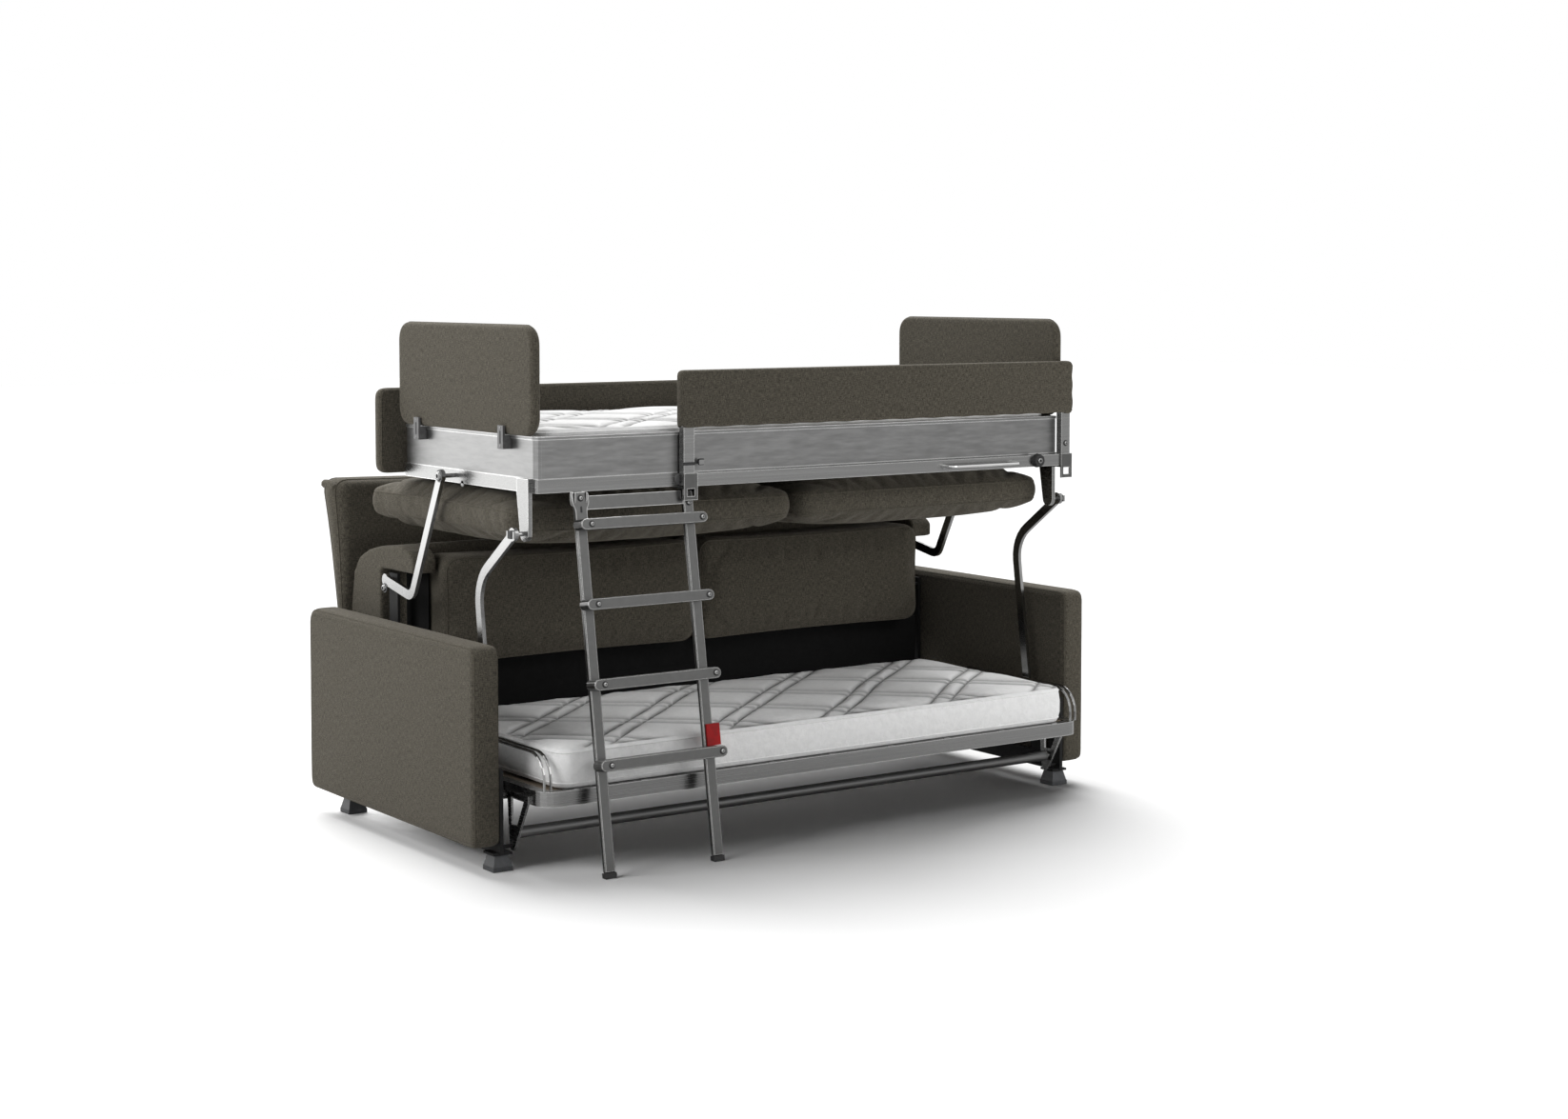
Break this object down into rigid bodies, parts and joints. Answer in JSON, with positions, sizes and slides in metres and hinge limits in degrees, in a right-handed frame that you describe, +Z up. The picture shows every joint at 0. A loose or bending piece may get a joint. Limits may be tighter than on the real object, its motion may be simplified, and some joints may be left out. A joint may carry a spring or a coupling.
{
  "type": "futon bunk bed",
  "caption": "Two-seat sofa folded out into bunk beds: padded armrests, a lower berth, an upper berth on bent lift arms, a guard rail and a ladder.",
  "frame": {"origin": "on the floor under the middle of the bounding box", "axes": "+Z up, +X along the length towards the end that has no ladder, -Y towards the ladder side, +Y towards the back of the sofa"},
  "size_m": [2.1194, 1.397, 1.4316],
  "materials": {
    "black_rubber": "black rubber",
    "brushed_rim": "brushed sheet steel with a wavy grain along its length",
    "chrome": "bright chrome",
    "clip_plastic": "dark grey moulded plastic",
    "dark_lining": "black lining cloth",
    "foot_plastic": "dark grey moulded plastic",
    "frame_steel": "dark grey paint",
    "ladder_steel": "satin grey metal with bright edges",
    "rail_steel": "satin steel",
    "red_plastic": "glossy red plastic",
    "slat_wood": "plain beech ply",
    "ticking": "white quilted ticking",
    "woven_cover": "warm dark grey woven upholstery cloth"
  },
  "bodies": {
    "base": {"armrest_left": "woven_cover", "armrest_right": "woven_cover", "back_board": "dark_lining", "back_bolster": "woven_cover", "back_cushion_left": "woven_cover", "back_cushion_right": "woven_cover", "back_shell": "woven_cover", "foot_front_left": "foot_plastic", "foot_front_right": "foot_plastic", "foot_rear_left": "foot_plastic", "foot_rear_right": "foot_plastic", "mid_cross_tube": "frame_steel", "rear_cross_tube": "frame_steel", "side_frame_left": "frame_steel", "side_frame_right": "frame_steel"},
    "front_swing": {"front_swing_frame": "rail_steel"},
    "rear_swing": {"rear_swing_frame": "rail_steel"},
    "lower_bed": {"lower_frame": "rail_steel", "lower_slats": "slat_wood", "lower_mattress": "ticking", "mattress_hoop_left": "chrome", "mattress_hoop_right": "chrome"},
    "front_arm_left": {"front_lift_arm_left": "chrome"},
    "front_arm_right": {"front_lift_arm_right": "chrome"},
    "rear_arm_left": {"rear_lift_arm_left": "chrome"},
    "rear_arm_right": {"rear_lift_arm_right": "chrome"},
    "upper_bed": {"upper_frame": "rail_steel", "upper_rim": "brushed_rim", "upper_slats": "slat_wood", "upper_mattress": "ticking", "front_bracket_left": "rail_steel", "front_bracket_right": "rail_steel", "seat_cushion_left": "woven_cover", "seat_cushion_right": "woven_cover", "clip_front_left": "clip_plastic", "clip_front_right": "clip_plastic", "clip_rear_left": "clip_plastic", "clip_rear_right": "clip_plastic", "rear_guard": "woven_cover", "guard_hook_left": "ladder_steel", "guard_hook_right": "ladder_steel", "ladder_hook_left": "ladder_steel", "ladder_hook_right": "ladder_steel"},
    "headboard_left": {"headboard_left": "woven_cover"},
    "headboard_right": {"headboard_right": "woven_cover"},
    "guard": {"guard_frame": "rail_steel", "guard_cover": "woven_cover", "pull_handle": "chrome", "guard_knob": "black_rubber"},
    "guard_latch": {"guard_latch": "black_rubber"},
    "ladder": {"ladder_stile_left": "ladder_steel", "ladder_stile_right": "ladder_steel", "ladder_cap_left": "black_rubber", "ladder_cap_right": "black_rubber", "ladder_top_bar": "ladder_steel", "ladder_rung_1": "ladder_steel", "ladder_rung_2": "ladder_steel", "ladder_rung_3": "ladder_steel", "ladder_rung_4": "ladder_steel"},
    "ladder_catch": {"ladder_catch": "red_plastic"}
  },
  "joints": [
    {"name": "front_lift", "type": "hinge", "parent": "base", "child": "front_arm_left", "pos_m": [-0.9415, -0.36372, 0.19], "axis": [-1, 0, 0], "range_deg": [0, 12]},
    {"name": "front_lift_right", "type": "hinge", "parent": "base", "child": "front_arm_right", "pos_m": [0.9415, -0.36372, 0.19], "axis": [-1, 0, 0], "range_deg": [0, 12]},
    {"name": "upper_bed_tilt", "type": "hinge", "parent": "front_arm_left", "child": "upper_bed", "pos_m": [-0.9415, -0.48372, 0.887], "axis": [1, 0, 0], "range_deg": [0, 23.9]},
    {"name": "rear_lift_left", "type": "hinge", "parent": "base", "child": "rear_arm_left", "pos_m": [-0.9415, 0.26128, 0.695], "axis": [-1, 0, 0], "range_deg": [0, 18.3]},
    {"name": "rear_lift_right", "type": "hinge", "parent": "base", "child": "rear_arm_right", "pos_m": [0.9415, 0.26128, 0.695], "axis": [-1, 0, 0], "range_deg": [0, 18.3]},
    {"name": "ladder_swing", "type": "hinge", "parent": "upper_bed", "child": "ladder", "pos_m": [-0.6095, -0.53872, 0.97], "axis": [-1, 0, 0], "range_deg": [0, 21]},
    {"name": "catch_slide", "type": "slide", "parent": "ladder", "child": "ladder_catch", "axis": [0, 0.1525, 0.9883], "range_m": [0, 0.1]},
    {"name": "headboard_left_lift", "type": "slide", "parent": "upper_bed", "child": "headboard_left", "axis": [0, 0, 1], "range_m": [0, 0.05]},
    {"name": "headboard_right_lift", "type": "slide", "parent": "upper_bed", "child": "headboard_right", "axis": [0, 0, 1], "range_m": [0, 0.05]},
    {"name": "guard_lift", "type": "slide", "parent": "upper_bed", "child": "guard", "axis": [0, 0, 1], "range_m": [0, 0.04]},
    {"name": "latch_pull", "type": "slide", "parent": "guard", "child": "guard_latch", "axis": [1, 0, 0], "range_m": [0, 0.008], "stiffness_N_per_m": 400, "springref_m": -0.002},
    {"name": "lower_swing", "type": "hinge", "parent": "base", "child": "front_swing", "pos_m": [0, -0.44872, 0.061], "axis": [-1, 0, 0], "range_deg": [0, 14]},
    {"name": "rear_swing", "type": "hinge", "parent": "base", "child": "rear_swing", "pos_m": [0, -0.00872, 0.061], "axis": [-1, 0, 0], "range_deg": [0, 14]},
    {"name": "lower_bed_level", "type": "hinge", "parent": "front_swing", "child": "lower_bed", "pos_m": [0, -0.47872, 0.197], "axis": [1, 0, 0], "range_deg": [0, 14]}
  ],
  "couplings": [
    {"joint": "front_lift_right", "follows": "front_lift", "ratio": 1},
    {"joint": "upper_bed_tilt", "follows": "front_lift", "ratio": 1.985},
    {"joint": "rear_lift_left", "follows": "front_lift", "ratio": 1.517},
    {"joint": "rear_lift_right", "follows": "front_lift", "ratio": 1.517},
    {"joint": "ladder_swing", "follows": "front_lift", "ratio": 1.735},
    {"joint": "rear_swing", "follows": "lower_swing", "ratio": 1},
    {"joint": "lower_bed_level", "follows": "lower_swing", "ratio": 1}
  ]
}
